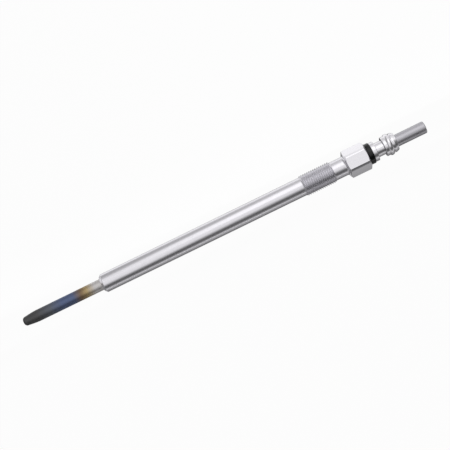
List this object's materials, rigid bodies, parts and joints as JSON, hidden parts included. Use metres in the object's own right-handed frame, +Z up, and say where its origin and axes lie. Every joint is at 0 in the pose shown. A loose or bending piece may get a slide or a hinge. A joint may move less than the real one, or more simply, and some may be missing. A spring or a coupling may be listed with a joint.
{
  "type": "diesel glow plug",
  "caption": "Long metal-sheath diesel glow plug with a heat-tinted glow tube, slim steel shank, fine thread, hexagon, black insulating washer and bare push-on terminal pin.",
  "frame": {"origin": "middle of the plug's box, on the surface that the plug lies on", "axes": "+X along the plug towards the terminal, +Z up, +Y across the plug"},
  "size_m": [0.2014, 0.0132, 0.0121],
  "materials": {
    "shell_steel": "bright satin turned steel, thinly plated",
    "sheath_alloy": "drawn heat-resisting alloy with temper colours from straw to blue to dark grey at the tip",
    "packed_powder": "packed off-white mineral powder",
    "coil_wire": "drawn resistance wire",
    "seal_rubber": "matt moulded rubber",
    "stud_steel": "dull drawn steel",
    "washer_plastic": "satin black moulded plastic",
    "nut_plating": "bright turned and plated"
  },
  "bodies": {
    "root": {"shell": "shell_steel", "glow_tube": "sheath_alloy", "insulating_powder": "packed_powder", "heating_coil": "coil_wire", "control_coil": "coil_wire", "tube_seal": "seal_rubber", "terminal_stud": "stud_steel", "head_seal": "seal_rubber", "insulating_washer": "washer_plastic", "round_nut": "nut_plating"}
  },
  "joints": []
}
